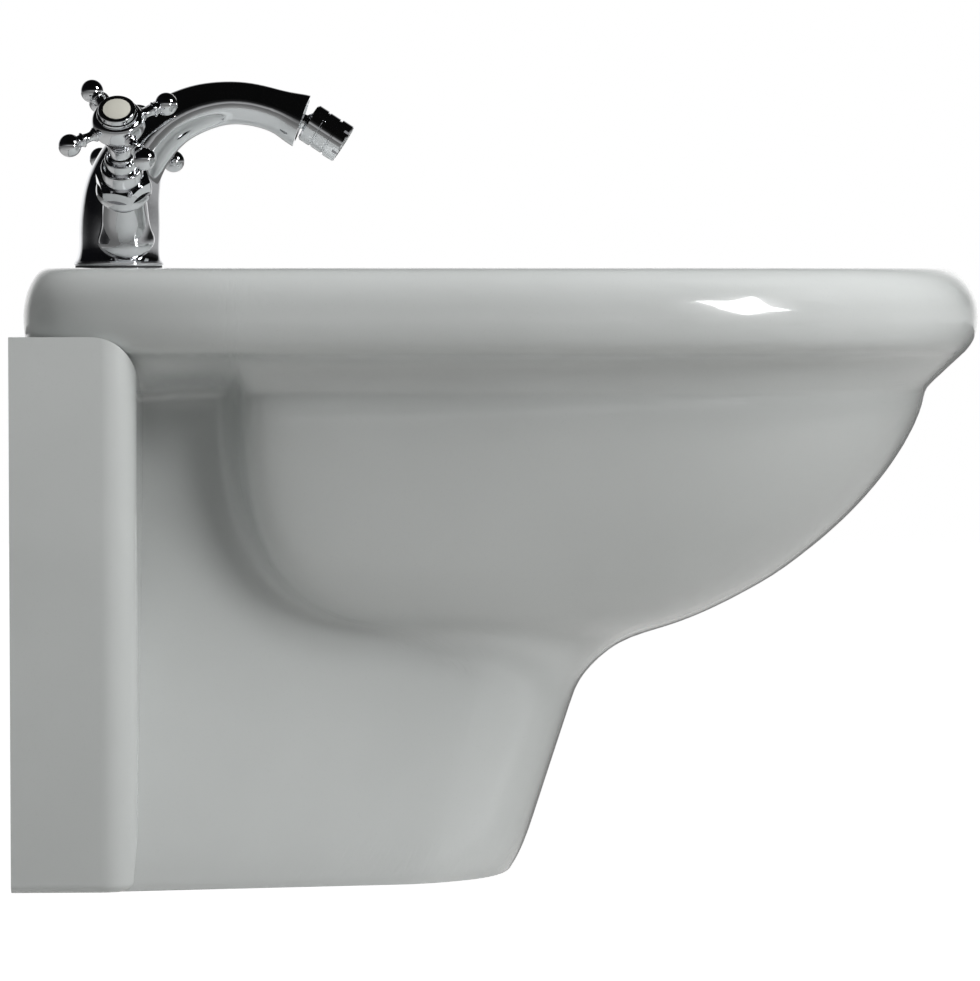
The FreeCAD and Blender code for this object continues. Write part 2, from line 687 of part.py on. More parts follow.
def tap_body():
    """Chromed casting: base, spout and two branches, with its bores."""
    low = deck_z() + GASKET
    half = BASE_WIDTH / 2
    base = lathe((0.0, 0.0), (half - BASE_EDGE, 0.0), (half, BASE_EDGE), (half, BASE_HEIGHT - BASE_EDGE),
                 (half - BASE_EDGE, BASE_HEIGHT), (0.0, BASE_HEIGHT), (0.0, 0.0))
    base.translate(Vector(TAP_X, 0, low))
    body = base.fuse([spout(), branch(-1), branch(1)])
    end, way = spout_end()
    mouth = Part.makeCone(SOCKET_BORE / 2, SPOUT_MOUTH / 2, MOUTH_DEPTH, end.sub(way * MOUTH_DEPTH), way)
    cuts = [rod(SOCKET_BORE / 2, end.sub(way * SOCKET_DEPTH), end.add(way)), mouth]
    for side in (-1, 1):
        clear = bonnet_corner() + 2 * GAP
        cuts.append(on_valve(drum(clear, BOSS_END, BONNET_TOP), side))
        cuts.append(on_valve(drum(VALVE_BORE / 2, VALVE_FLOOR, BOSS_END + 1), side))
        cuts.append(on_valve(drum(VALVE_THREAD / 2, BOSS_END - VALVE_THREAD_LENGTH, BOSS_END + 1), side))
        cuts.append(drum(INLET_BORE / 2, low - 1, low + INLET_DEPTH, TAP_X + INLET_FORWARD,
                         side * INLET_SPACING / 2))
    cuts.append(drum(TAP_STUD / 2, low - 1, low + TAP_STUD_GRIP, TAP_X - TAP_STUD_BACK))
    return body.cut(cuts)


def tap_fixing():
    """Gasket, stud, washers and nut that hold the tap on the deck."""
    low = deck_z() + GASKET
    stud_x = TAP_X - TAP_STUD_BACK
    bottom = low + TAP_STUD_GRIP - TAP_STUD_LENGTH
    under = deck_z() - DECK_THICKNESS
    slot_start = stud_x + TAP_STUD

    def horseshoe(top, bottom_z):
        plate = drum(CLAMP_WIDTH / 2, bottom_z, top, TAP_X)
        slot = block(Vector(slot_start, -CLAMP_SLOT / 2, bottom_z - 1),
                     Vector(TAP_X + CLAMP_WIDTH, CLAMP_SLOT / 2, top + 1))
        return plate.cut([slot, drum(TAP_STUD / 2 + FIT, bottom_z - 1, top + 1, stud_x)])

    gasket = ring(TAP_HOLE / 2, BASE_WIDTH / 2 - BASE_EDGE, 0.0, GASKET)
    gasket.translate(Vector(TAP_X, 0, deck_z()))
    plate_top = under - CLAMP_THICKNESS
    nut_top = plate_top - CLAMP_THICKNESS
    nut = hex_nut(TAP_NUT_FLATS, TAP_STUD + 2 * FIT, nut_top - TAP_NUT_HEIGHT, nut_top)
    nut.translate(Vector(stud_x, 0, 0))
    return {"tap_gasket": gasket,
            "tap_stud": drum(TAP_STUD / 2 - FIT, bottom, low + TAP_STUD_GRIP, stud_x),
            "tap_rubber_washer": horseshoe(under, plate_top),
            "tap_clamp_plate": horseshoe(plate_top, nut_top),
            "tap_nut": nut}


def bonnet():
    """Hexagonal valve bonnet with its threaded shank and stepped top, about z."""
    seat = BOSS_END + 1.0
    corner = bonnet_corner()
    hex_low = seat + BONNET_COLLAR
    hex_high = hex_low + BONNET_HEX
    shank = VALVE_THREAD / 2 - FIT
    foot = BOSS_END - VALVE_THREAD_LENGTH + 0.5
    rise = BONNET_TOP - hex_high
    wide, middle, narrow = BONNET_TIER, BONNET_TIER - 2.5, BONNET_TIER - 4.4
    first, second = hex_high + rise * 0.5, hex_high + rise * 0.87
    collar = turned([(0.0, seat), (corner - 1.6, seat)],
                    [(corner - 1.6, seat), (corner - 0.5, seat + BONNET_COLLAR * 0.2),
                     (corner - 0.1, seat + BONNET_COLLAR * 0.6), (corner - 0.9, hex_low)],
                    [(corner - 0.9, hex_low), (0.0, hex_low)])
    chamfer = lathe((0.0, hex_low - 1), (corner, hex_low - 1), (corner, hex_high - 1.8),
                    (corner - 3.0, hex_high), (0.0, hex_high), (0.0, hex_low - 1))
    block_hex = hexagon(BONNET_FLATS, hex_low - 1, hex_high).common(chamfer)
    block_hex.rotate(Vector(), Vector(0, 0, 1), BONNET_TURN)
    top = turned([(0.0, foot), (shank, foot)], [(shank, foot), (shank, hex_high)],
                 [(shank, hex_high), (wide, hex_high)], [(wide, hex_high), (wide, first - 1.6)],
                 [(wide, first - 1.6), (wide - 0.4, first - 0.4), (wide - 1.5, first)],
                 [(wide - 1.5, first), (middle, first)], [(middle, first), (middle, second - 1.4)],
                 [(middle, second - 1.4), (middle - 0.4, second - 0.3), (middle - 1.4, second)],
                 [(middle - 1.4, second), (narrow, second)], [(narrow, second), (narrow, BONNET_TOP - 0.6)],
                 [(narrow, BONNET_TOP - 0.6), (narrow - 0.6, BONNET_TOP)],
                 [(narrow - 0.6, BONNET_TOP), (0.0, BONNET_TOP)])
    bore = drum(SPINDLE / 2 + FIT, foot - 1, BONNET_TOP + 1)
    pocket = drum(spindle_foot() + GAP, foot - 1, spindle_low() + 6.0 + GAP)
    return top.fuse([collar, block_hex]).cut([bore, pocket])


def spindle_foot():
    """Radius of the spindle's foot, inside the valve's bore."""
    return VALVE_THREAD / 2 - 3.2


def spindle_low():
    """Lower end of the spindle, on the turning disc."""
    return VALVE_FLOOR + 2 * DISC_THICKNESS + FIT


def valve_discs():
    """Fixed and turning ceramic discs of one valve, about z."""
    low = VALVE_FLOOR
    middle = low + DISC_THICKNESS
    fixed = drum(VALVE_BORE / 2 - FIT, low, middle)
    turning = drum(VALVE_BORE / 2 - GAP, middle + FIT, middle + FIT + DISC_THICKNESS)
    ports = [drum(1.8, low - 1, middle + 1, 0.0, side * VALVE_BORE / 4) for side in (-1, 1)]
    slots = [drum(1.8, middle, middle + 2 * DISC_THICKNESS, side * VALVE_BORE / 4) for side in (-1, 1)]
    return fixed.cut(ports), turning.cut(slots)


def spindle():
    """Spindle from the turning disc up into the handle, about z."""
    low = spindle_low()
    end = HUB_TOP - 5.0
    shape = drum(spindle_foot(), low, low + 6.0).fuse(drum(SPINDLE / 2, low, end))
    return shape.cut(drum(screw_radius() + FIT, end - SCREW_DEPTH, end + 1))


def screw_radius():
    """Radius of the handle screw's shank."""
    return SPINDLE / 2 - 1.6


def hub_bore():
    """Radius of the space for the screw's head in the hub and the cap ring."""
    return INDEX_DISC / 2 - 0.9


def handle_screw():
    """Screw that holds the handle on the spindle, about z."""
    seat = HUB_TOP - 4.5
    head = drum(hub_bore() - 1.0, seat, seat + 3.0)
    cross = [block(Vector(-2.6, -0.5, seat + 1.6), Vector(2.6, 0.5, seat + 4)),
             block(Vector(-0.5, -2.6, seat + 1.6), Vector(0.5, 2.6, seat + 4))]
    return head.cut(cross).fuse(drum(screw_radius(), seat - 11.0, seat))


def handle_arm():
    """One arm of the cross with its beads and ball, along z from the hub's axis."""
    ball = BALL / 2
    neck = ARM_REACH - ball
    stem = turned([(0.0, 6.0), (4.3, 6.0)], [(4.3, 6.0), (4.3, 11.5), (3.4, 13.6)],
                  [(3.4, 13.6), (4.0, 14.5), (3.4, 15.4)], [(3.4, 15.4), (2.7, 16.6)],
                  [(2.7, 16.6), (2.6, 18.6), (3.1, neck - 2.4)],
                  [(3.1, neck - 2.4), (4.2, neck - 1.5), (3.3, neck - 0.5)],
                  [(3.3, neck - 0.5), (3.3, ARM_REACH)], [(3.3, ARM_REACH), (0.0, ARM_REACH)])
    return stem.fuse(Part.makeSphere(ball, Vector(0, 0, ARM_REACH)))


def handle(turn):
    """Cross handle: bell-shaped hub with four ball-ended arms, about z."""
    bore = SPINDLE / 2 + FIT
    seat = HUB_TOP - 4.5
    wide = HUB_RADIUS
    low = HUB_START
    rise = ARM_LEVEL - low
    foot = wide - 8.7
    hub = turned([(bore, low), (foot, low)],
                 [(foot, low), (foot + 0.5, low + rise * 0.2), (foot + 2.1, low + rise * 0.45),
                  (foot + 5.0, low + rise * 0.7), (foot + 7.6, low + rise * 0.87), (wide, ARM_LEVEL)],
                 [(wide, ARM_LEVEL), (wide - 0.3, ARM_LEVEL + 2.4), (wide - 1.6, HUB_TOP - 1.3),
                  (CAP_RADIUS + 0.5, HUB_TOP)],
                 [(CAP_RADIUS + 0.5, HUB_TOP), (hub_bore(), HUB_TOP)],
                 [(hub_bore(), HUB_TOP), (hub_bore(), seat)],
                 [(hub_bore(), seat), (bore, seat)], [(bore, seat), (bore, low)])
    arms = []
    for i in range(ARMS):
        angle = math.radians(turn + i * 360.0 / ARMS)
        way = Vector(math.cos(angle), math.sin(angle), 0)
        arms.append(moved(handle_arm(), Vector(0, 0, ARM_LEVEL), way, Vector(0, 0, 1)))
    core = drum(hub_bore(), seat, HUB_TOP + 1).fuse(drum(bore, low - 1, seat + 1))
    return hub.fuse(arms).cut(core)


def cap_ring():
    """Ring on the hub that frames the index disc, about z."""
    low, high = HUB_TOP, HUB_TOP + CAP_HEIGHT
    ledge = high - 1.9
    disc = INDEX_DISC / 2 + FIT
    return turned([(hub_bore(), low), (CAP_RADIUS, low)],
                  [(CAP_RADIUS, low), (CAP_RADIUS + 0.2, low + 0.8), (CAP_RADIUS, low + 1.6)],
                  [(CAP_RADIUS, low + 1.6), (CAP_RADIUS - 0.7, low + 2.0)],
                  [(CAP_RADIUS - 0.7, low + 2.0), (CAP_RADIUS - 0.7, high - 1.2)],
                  [(CAP_RADIUS - 0.7, high - 1.2), (CAP_RADIUS - 1.1, high - 0.3), (CAP_RADIUS - 2.0, high)],
                  [(CAP_RADIUS - 2.0, high), (disc, high - 0.4)], [(disc, high - 0.4), (disc, ledge)],
                  [(disc, ledge), (hub_bore(), ledge)], [(hub_bore(), ledge), (hub_bore(), low)])


def index_disc():
    """Porcelain disc in the cap ring, slightly domed, about z."""
    ledge = HUB_TOP + CAP_HEIGHT - 1.9
    radius = INDEX_DISC / 2
    return turned([(0.0, ledge), (radius, ledge)], [(radius, ledge), (radius, ledge + 1.6)],
                  [(radius, ledge + 1.6), (radius * 0.6, ledge + 2.2), (0.0, ledge + 2.4)])


def valve_pieces(name, side):
    """All pieces of one valve and its handle."""
    fixed, turning = valve_discs()
    seal = ring(VALVE_THREAD / 2 + FIT, BOSS_RADIUS, BOSS_END, BOSS_END + 1.0)
    turn = HOT_TURN if side < 0 else COLD_TURN
    pieces = {"bonnet": bonnet(), "bonnet_seal": seal, "fixed_disc": fixed, "turning_disc": turning,
              "spindle": spindle(), "handle": handle(turn), "handle_screw": handle_screw(),
              "cap_ring": cap_ring(), "index_disc": index_disc()}
    return {name + "_" + piece: on_valve(shape, side) for piece, shape in pieces.items()}


def swivel_centre():
    """Centre of the aerator's ball."""
    end, way = spout_end()
    return end.add(way * SWIVEL_REACH)


def on_aerator(shape):
    """Shape built about z, laid on the aerator's axis from the ball's centre."""
    return moved(shape, swivel_centre(), dipped(AERATOR_DIP), Vector(0, 1, 0))


def swivel_ball():
    """Ball nipple screwed into the spout, along the spout's end."""
    end, way = spout_end()
    ball = Part.makeSphere(SWIVEL_BALL / 2, Vector(0, 0, SWIVEL_REACH))
    shank = drum(SOCKET_BORE / 2 - FIT, 1.0 - SOCKET_DEPTH, -MOUTH_DEPTH)
    neck = drum(SWIVEL_NECK / 2, -MOUTH_DEPTH - 1.0, SWIVEL_REACH)
    bore = drum(SWIVEL_BORE / 2, -SOCKET_DEPTH, 2 * SWIVEL_REACH + SWIVEL_BALL)
    flat = drum(SWIVEL_BALL, -MOUTH_DEPTH, GAP)
    return moved(ball.cut(flat).fuse([shank, neck]).cut(bore), end, way, Vector(0, 1, 0))


def swivel_seat():
    """Friction ring between the ball and the housing, about z."""
    inner = SWIVEL_BALL / 2 + GAP
    outer = inner + SEAT_THICKNESS
    band = drum(2 * outer, -SEAT_BACK, SEAT_FRONT)
    return Part.makeSphere(outer).cut(Part.makeSphere(inner)).common(band)


def housing_cavity():
    """Radius of the round cavity that holds the friction ring."""
    return SWIVEL_BALL / 2 + SEAT_THICKNESS + 2 * GAP


def aerator_housing():
    """Turned housing in three bands with a notched end, about z."""
    back = -AERATOR_BACK
    front = back + AERATOR_LENGTH
    band = AERATOR_LENGTH / 3
    wide = AERATOR_WIDTH / 2
    groove = AERATOR_GROOVE
    first, second = back + band, back + 2 * band
    outside = lathe((0.0, back), (wide - 1.0, back), (wide, back + 1.0), (wide, first - groove),
                    (wide - groove, first - 0.4), (wide - groove, first + 0.4), (wide - 0.2, first + groove),
                    (wide - 0.2, second - groove), (wide - 1.3 * groove, second - 0.4),
                    (wide - 1.3 * groove, second + 0.4), (wide + 0.2, second + groove),
                    (wide + 0.2, front - 0.7), (wide - 0.5, front), (0.0, front), (0.0, back))
    cavity = Part.makeSphere(housing_cavity())
    bore = drum(AERATOR_BORE / 2, 0.0, front + 1)
    cuts = [cavity, bore]
    for i in range(AERATOR_NOTCHES):
        notch = block(Vector(AERATOR_BORE / 2 + 0.6, -1.6, front - 3.2), Vector(2 * wide, 1.6, front + 1))
        notch.rotate(Vector(0, 0, 0), Vector(0, 0, 1), (i + 0.5) * 360.0 / AERATOR_NOTCHES)
        cuts.append(notch)
    return outside.cut(cuts)


def aerator_gasket():
    """Flat gasket ahead of the ball, about z."""
    low = housing_cavity() + GAP
    return ring(AERATOR_BORE / 2 - 3.0, AERATOR_BORE / 2 - FIT, low, low + 1.0)


def aerator_insert():
    """Spray insert with two rings of holes, about z."""
    low = housing_cavity() + GAP + 1.0
    high = AERATOR_LENGTH - AERATOR_BACK - AERATOR_LIP
    outer = AERATOR_BORE / 2 - FIT
    cup = drum(outer, low, high).cut(drum(outer - 1.4, low - 1, high - 2.0))
    holes = [drum(0.9, high - 3, high + 1)]
    for count, radius in ((6, 3.0), (12, 6.0)):
        for i in range(count):
            angle = 2 * math.pi * i / count
            holes.append(drum(0.9, high - 3, high + 1, radius * math.cos(angle), radius * math.sin(angle)))
    return cup.cut(holes)


def aerator_pieces():
    """Swivel ball, friction ring and the aerator that turns on them."""
    return {"swivel_ball": swivel_ball(),
            "swivel_seat": on_aerator(swivel_seat()),
            "aerator_housing": on_aerator(aerator_housing()),
            "aerator_gasket": on_aerator(aerator_gasket()),
            "aerator_insert": on_aerator(aerator_insert())}


def waste_body():
    """Waste with its flange, threaded tube, overflow slots and crossbar, about z."""
    outer = WASTE_TUBE / 2
    inner = outer - WASTE_WALL
    top = SEAL + WASTE_FLANGE_HEIGHT
    foot = top - WASTE_LENGTH
    tail = foot + WASTE_TAIL
    rim = WASTE_FLANGE / 2
    shell = turned([(inner, foot), (outer, foot)], [(outer, foot), (outer, tail)],
                   [(outer, tail), (outer - WASTE_WALL / 4, tail)],
                   [(outer - WASTE_WALL / 4, tail), (outer - WASTE_WALL / 4, tail + WASTE_RELIEF)],
                   [(outer - WASTE_WALL / 4, tail + WASTE_RELIEF), (outer, tail + WASTE_RELIEF)],
                   [(outer, tail + WASTE_RELIEF), (outer, SEAL)],
                   [(outer, SEAL), (rim, SEAL)], [(rim, SEAL), (rim - 0.4, SEAL + 1.2), (rim - 4.0, top)],
                   [(rim - 4.0, top), (inner + 1.2, top)],
                   [(inner + 1.2, top), (inner, top - 1.2)], [(inner, top - 1.2), (inner, foot)])
    slot_z = -DRAIN_THICKNESS / 2
    half = CHANNEL_BORE / 2 - 2.0
    slot = block(Vector(-WASTE_TUBE, -half, slot_z - half), Vector(WASTE_TUBE, half, slot_z + half))
    bar_low = -WASTE_BAR_DROP - WASTE_BAR
    bar = block(Vector(-inner - 0.5, -WASTE_BAR / 2, bar_low),
                Vector(inner + 0.5, WASTE_BAR / 2, -WASTE_BAR_DROP))
    hub = drum(CARTRIDGE_SHANK / 2 + 3.0, bar_low, -WASTE_BAR_DROP)
    hole = drum(CARTRIDGE_SHANK / 2 + FIT, bar_low - 1, 1 - WASTE_BAR_DROP)
    return shell.cut(slot).fuse([bar, hub]).cut(hole)


def waste_nut():
    """Ring nut under the china, with grips round it, about z."""
    high = -DRAIN_THICKNESS - SEAL
    low = high - WASTE_NUT_HEIGHT
    nut = ring(WASTE_TUBE / 2 + FIT, WASTE_NUT / 2, low, high)
    grips = []
    for i in range(8):
        angle = math.pi * i / 4
        reach = WASTE_NUT / 2 + 1.5
        grips.append(drum(3.0, low - 1, high - 2.0, reach * math.cos(angle), reach * math.sin(angle)))
    return nut.cut(grips)


def waste_pieces():
    """Waste, its seals and nut, and the push-down plug on its cartridge."""
    tube = WASTE_TUBE / 2
    closed = SEAL + WASTE_FLANGE_HEIGHT + GAP
    sleeve = PLUG_SLEEVE / 2
    plug_rim = PLUG / 2
    plug = turned([(0.0, closed), (plug_rim - 1.0, closed)],
                  [(plug_rim - 1.0, closed), (plug_rim, closed + 0.8), (plug_rim - 0.8, closed + 1.8)],
                  [(plug_rim - 0.8, closed + 1.8), (plug_rim * 0.6, closed + PLUG_HEIGHT * 0.82),
                   (0.0, closed + PLUG_HEIGHT)])
    skirt = ring(CARTRIDGE / 2 + GAP, sleeve, closed - PLUG_SLEEVE_LENGTH, closed + 0.5)
    seal_r = tube - WASTE_WALL - GAP
    shank_low = -WASTE_BAR_DROP - WASTE_BAR - 4.0
    cartridge = lathe((0.0, shank_low), (CARTRIDGE_SHANK / 2, shank_low),
                      (CARTRIDGE_SHANK / 2, -WASTE_BAR_DROP),
                      (CARTRIDGE / 2, -WASTE_BAR_DROP), (CARTRIDGE / 2, -CARTRIDGE_TOP - 1.0),
                      (CARTRIDGE / 2 - 1.0, -CARTRIDGE_TOP), (0.0, -CARTRIDGE_TOP), (0.0, shank_low))
    upper = ring(DRAIN_HOLE / 2, WASTE_FLANGE / 2 - 1.5, 0.0, SEAL)
    lower = ring(tube + FIT, WASTE_NUT / 2, -DRAIN_THICKNESS - SEAL, -DRAIN_THICKNESS)
    pieces = {"waste_body": waste_body(), "waste_upper_seal": upper, "waste_lower_seal": lower,
              "waste_nut": waste_nut(), "plug_cartridge": cartridge, "waste_plug": plug.fuse(skirt),
              "plug_seal": ring(sleeve + FIT, seal_r, closed - 2.6, closed)}
    for shape in pieces.values():
        shape.translate(Vector(DRAIN_X, 0, drain_z()))
    return pieces


def overflow_ring():
    """Ring in the overflow's hole, in the basin's back wall."""
    inlet, _, _ = overflow_points()
    tube = OVERFLOW_HOLE / 2 - FIT
    rim = OVERFLOW_RING / 2
    face = BASIN_BACK + OVERFLOW_SEAT - CHANNEL_X
    start = CHANNEL_BORE / 2 + 1.0
    top = face + OVERFLOW_RING_HEIGHT
    bore = tube - 1.5
    shape = turned([(bore, start), (tube, start)], [(tube, start), (tube, face)], [(tube, face), (rim, face)],
                   [(rim, face), (rim - 0.5, face + 1.2), (rim - 2.5, top)],
                   [(rim - 2.5, top), (bore, top - 0.6)], [(bore, top - 0.6), (bore, start)])
    return moved(shape, inlet, Vector(1, 0, 0), Vector(0, 1, 0))


def wall_fixing():
    """Sleeves, washers and nuts on the two wall studs, each pair as one group."""
    bore = STUD + 0.4
    washer_low = WALL + SLEEVE_LIP
    outer = STUD_HOLE / 2 - FIT
    sleeve = lathe((bore / 2, 0.0), (outer, 0.0), (outer, WALL), (SLEEVE_FLANGE / 2, WALL),
                   (SLEEVE_FLANGE / 2, washer_low), (bore / 2, washer_low), (bore / 2, 0.0))
    nut_low = washer_low + WASHER_THICKNESS
    pieces = {"wall_sleeves": sleeve, "wall_washers": ring(bore / 2, WASHER / 2, washer_low, nut_low),
              "wall_nuts": hex_nut(NUT_FLATS, bore, nut_low, nut_low + NUT_HEIGHT)}
    groups = {}
    for name, shape in pieces.items():
        copies = [moved(shape, Vector(0, side * STUD_SPACING / 2, 0), Vector(1, 0, 0), Vector(0, 1, 0))
                  for side in (-1, 1)]
        groups[name] = Part.makeCompound(copies)
    return groups


def save(name, shape):
    """Write one node."""
    shape.exportStep("parts/" + name + ".step")


def main():
    os.makedirs("parts", exist_ok=True)
    nodes = {"china_body": china_body(), "tap_body": tap_body()}
    nodes.update(tap_fixing())
    nodes.update(valve_pieces("hot", -1))
    nodes.update(valve_pieces("cold", 1))
    nodes.update(aerator_pieces())
    nodes.update(waste_pieces())
    nodes["overflow_ring"] = overflow_ring()
    nodes.update(wall_fixing())
    for name, shape in nodes.items():
        print(name, shape.isValid(), len(shape.Solids), round(shape.Volume / 1000, 2))
        save(name, shape)


main()
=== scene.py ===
"""Looks of the wall-hung bidet: glazed china, chromed tap and fittings, in a plain studio."""
import json
import math
import bpy
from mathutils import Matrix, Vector

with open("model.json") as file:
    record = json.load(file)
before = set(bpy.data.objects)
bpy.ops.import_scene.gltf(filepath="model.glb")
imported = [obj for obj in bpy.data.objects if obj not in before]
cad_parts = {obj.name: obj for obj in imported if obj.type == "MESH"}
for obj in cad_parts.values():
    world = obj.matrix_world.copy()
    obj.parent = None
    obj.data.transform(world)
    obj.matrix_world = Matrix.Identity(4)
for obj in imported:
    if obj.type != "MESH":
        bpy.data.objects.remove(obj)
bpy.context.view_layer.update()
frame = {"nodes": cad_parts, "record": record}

WHITE = (1.0, 1.0, 1.0)

# The camera: the photograph's frame in pixels, the sensor in millimetres, the rest in metres
PHOTO_WIDTH = 980
PHOTO_HEIGHT = 981
FOCAL_PIXELS = 4641
HORIZON_ROW = 268
SENSOR = 36.0
EYE = Vector((0.250, -2.600, 0.085))
VIEW_REACH = 100.0

# What mirrors see: greys by height, from straight down (0) to straight up (1), and a dark left side
MIRRORED_SHADE = [(0.0, 0.52), (0.40, 0.48), (0.50, 0.36), (0.57, 0.02), (0.66, 0.003)]
MIRRORED_LEFT = (0.004, 0.004, 0.005)
LEFT_SLOPE = -1.2
LEFT_START = -0.25

# The white behind the part that mirrors see: limits by depth, by height and to the right
BEHIND_LIMIT = [(0.55, 0.0), (0.80, 1.0)]
HEIGHT_LIMIT = [(0.60, 1.0), (0.78, 0.0)]
RIGHT_LIMIT = [(0.30, 1.0), (0.55, 0.0)]

# The even light from all round, by height
AMBIENT = [(0.0, 0.21), (1.0, 0.20)]

# The floor: level and half width in metres, its two greys, their grain and its glow to the eye
FLOOR_LEVEL = -0.90
FLOOR_REACH = 14.0
FLOOR_DARK = (0.66, 0.66, 0.65)
FLOOR_LIGHT = (0.70, 0.70, 0.69)
FLOOR_GRAIN = 30.0
FLOOR_GLOW = (0.90, 0.90, 0.90)

# Soft lamps that mirrors do not see: name, place, target, width and height in metres, power in watts
LAMPS = [
    ("front_softbox", (1.45, -1.15, 0.95), (0.30, 0.00, -0.10), 0.80, 0.64, 15.3),
    ("top_softbox", (1.10, -0.70, 1.70), (0.30, 0.00, 0.00), 0.80, 0.80, 22.7),
    ("side_softbox", (2.80, -0.30, 0.60), (0.30, 0.00, -0.10), 1.00, 1.00, 4.0),
    ("far_softbox", (0.60, 2.60, 1.00), (0.25, 0.00, -0.10), 1.20, 1.00, 30.0),
    ("wall_softbox", (-2.20, 1.50, 0.90), (0.10, 0.00, -0.10), 1.00, 1.00, 18.0),
]

# The lamp that sparkles on the chrome alone, written as the lamps above
SPARKLE_LAMP = ("sparkle_window", (1.94, -0.88, 1.35), (0.05, -0.05, 0.17), 0.75, 0.75, 13.0)

# The card whose mirror image is the window on the rim: its outline in metres and its brightness
RIM_CARD = [(0.4705, -0.4947, 0.1774), (0.5169, -0.4749, 0.1881), (0.5491, -0.4439, 0.2258),
            (0.5850, -0.4588, 0.1439), (0.6211, -0.4437, 0.1121), (0.5741, -0.4737, 0.0921),
            (0.5426, -0.4886, 0.0705), (0.5043, -0.4995, 0.1148)]
CARD_GLOW = 16.0


def make_camera():
    """A long lens a little above the deck, tipped down until the horizon is at the photograph's row."""
    data = bpy.data.cameras.new("camera")
    data.sensor_width = SENSOR
    data.lens = SENSOR * FOCAL_PIXELS / PHOTO_WIDTH
    data.clip_end = VIEW_REACH
    camera = bpy.data.objects.new("camera", data)
    bpy.context.collection.objects.link(camera)
    dip = math.atan((PHOTO_HEIGHT / 2 - HORIZON_ROW) / FOCAL_PIXELS)
    camera.location = EYE
    camera.rotation_euler = (math.pi / 2 - dip, 0.0, 0.0)
    bpy.context.scene.camera = camera


class Nodes:
    """A short way to write a node tree."""

    def __init__(self, tree):
        self.tree = tree
        tree.nodes.clear()

    def add(self, kind, values=None, **settings):
        node = self.tree.nodes.new(kind)
        for name, value in settings.items():
            setattr(node, name, value)
        for socket, value in (values or {}).items():
            self.put(node.inputs[socket], value)
        return node

    def put(self, socket, value):
        """Links a socket to another, or sets its value."""
        if isinstance(value, bpy.types.NodeSocket):
            self.tree.links.new(value, socket)
        elif isinstance(value, tuple) and len(value) == 3 and socket.type == "RGBA":
            socket.default_value = (*value, 1.0)
        else:
            socket.default_value = value

    def end(self, kind, shader):
        """The tree's output."""
        output = self.add(kind)
        self.tree.links.new(shader.outputs[0], output.inputs[0])

    def times(self, first, second):
        return self.add("ShaderNodeMath", {0: first, 1: second}, operation="MULTIPLY").outputs[0]

    def scaled(self, value, factor, offset, clamp=False):
        """The value times the factor, plus the offset."""
        return self.add("ShaderNodeMath", {0: value, 1: factor, 2: offset},
                        operation="MULTIPLY_ADD", use_clamp=clamp).outputs[0]

    def mix(self, share, first, second):
        node = self.add("ShaderNodeMix", data_type="RGBA")
        self.put(node.inputs[0], share)
        self.put(node.inputs[6], first)
        self.put(node.inputs[7], second)
        return node.outputs[2]

    def ramp(self, value, stops):
        """A grey ramp with stops of (place, grey)."""
        node = self.add("ShaderNodeValToRGB", {0: value})
        elements = node.color_ramp.elements
        while len(elements) < len(stops):
            elements.new(0.5)
        for element, (place, grey) in zip(elements, stops):
            element.position = place
            element.color = (grey, grey, grey, 1.0)
        return node.outputs[0]

    def rise(self, value, start, end):
        """0 up to the start, 1 from the end on."""
        return self.ramp(value, [(start, 0.0), (end, 1.0)])

    def noise(self, scale, detail=2.0, stretch=None):
        """Noise over the piece's own place, so that it stays put on a part that moves."""
        place = self.add("ShaderNodeTexCoord").outputs["Object"]
        if stretch:
            place = self.add("ShaderNodeMapping", {"Vector": place, "Scale": stretch}).outputs[0]
        return self.add("ShaderNodeTexNoise", {"Vector": place, "Scale": scale,
                                               "Detail": detail}).outputs["Fac"]

    def bump(self, height, strength, distance):
        return self.add("ShaderNodeBump", {"Height": height, "Strength": strength,
                                           "Distance": distance}).outputs[0]

    def surface(self, **values):
        """The principled surface at the tree's end; names use _ for blanks."""
        inputs = {name.replace("_", " "): value for name, value in values.items()}
        self.end("ShaderNodeOutputMaterial", self.add("ShaderNodeBsdfPrincipled", inputs))


def new_material(name):
    material = bpy.data.materials.new(name)
    material.use_nodes = True
    return material, Nodes(material.node_tree)


def glazed(name, light, dark, wave):
    """Fired clay under a glassy glaze: faint clouds and specks, a slow waviness in the gloss."""
    material, nodes = new_material(name)
    speck_colour = tuple(0.95 * channel for channel in dark)
    clouds = nodes.rise(nodes.noise(scale=9.0, detail=3.0), start=0.35, end=0.65)
    unspecked = nodes.rise(nodes.noise(scale=900.0, detail=1.0), start=0.30, end=0.36)
    colour = nodes.mix(clouds, dark, light)
    colour = nodes.mix(nodes.scaled(unspecked, factor=0.3, offset=0.7), speck_colour, colour)
    fine = nodes.noise(scale=420.0, detail=1.0)
    swell = nodes.noise(scale=wave, detail=1.0)
    nodes.surface(Base_Color=colour,
                  Roughness=nodes.scaled(nodes.noise(scale=40.0), factor=0.10, offset=0.13),
                  IOR=1.5,
                  Normal=nodes.bump(fine, strength=0.02, distance=0.0002),
                  Coat_Weight=1.0,
                  Coat_Roughness=0.02,
                  Coat_IOR=1.52,
                  Coat_Normal=nodes.bump(swell, strength=0.10, distance=0.0012))
    return material


def plated(name, light, dark, rough, scratch):
    """Plated metal: bright, with a faint haze and polishing marks."""
    material, nodes = new_material(name)
    haze = nodes.noise(scale=60.0, detail=4.0)
    marks = nodes.noise(scale=900.0, stretch=(1.0, 1.0, 0.12))
    nodes.surface(Base_Color=nodes.mix(nodes.rise(haze, start=0.35, end=0.7), dark, light),
                  Metallic=1.0,
                  Roughness=nodes.scaled(haze, factor=rough, offset=0.6 * rough),
                  Normal=nodes.bump(marks, strength=scratch, distance=0.00006))
    return material


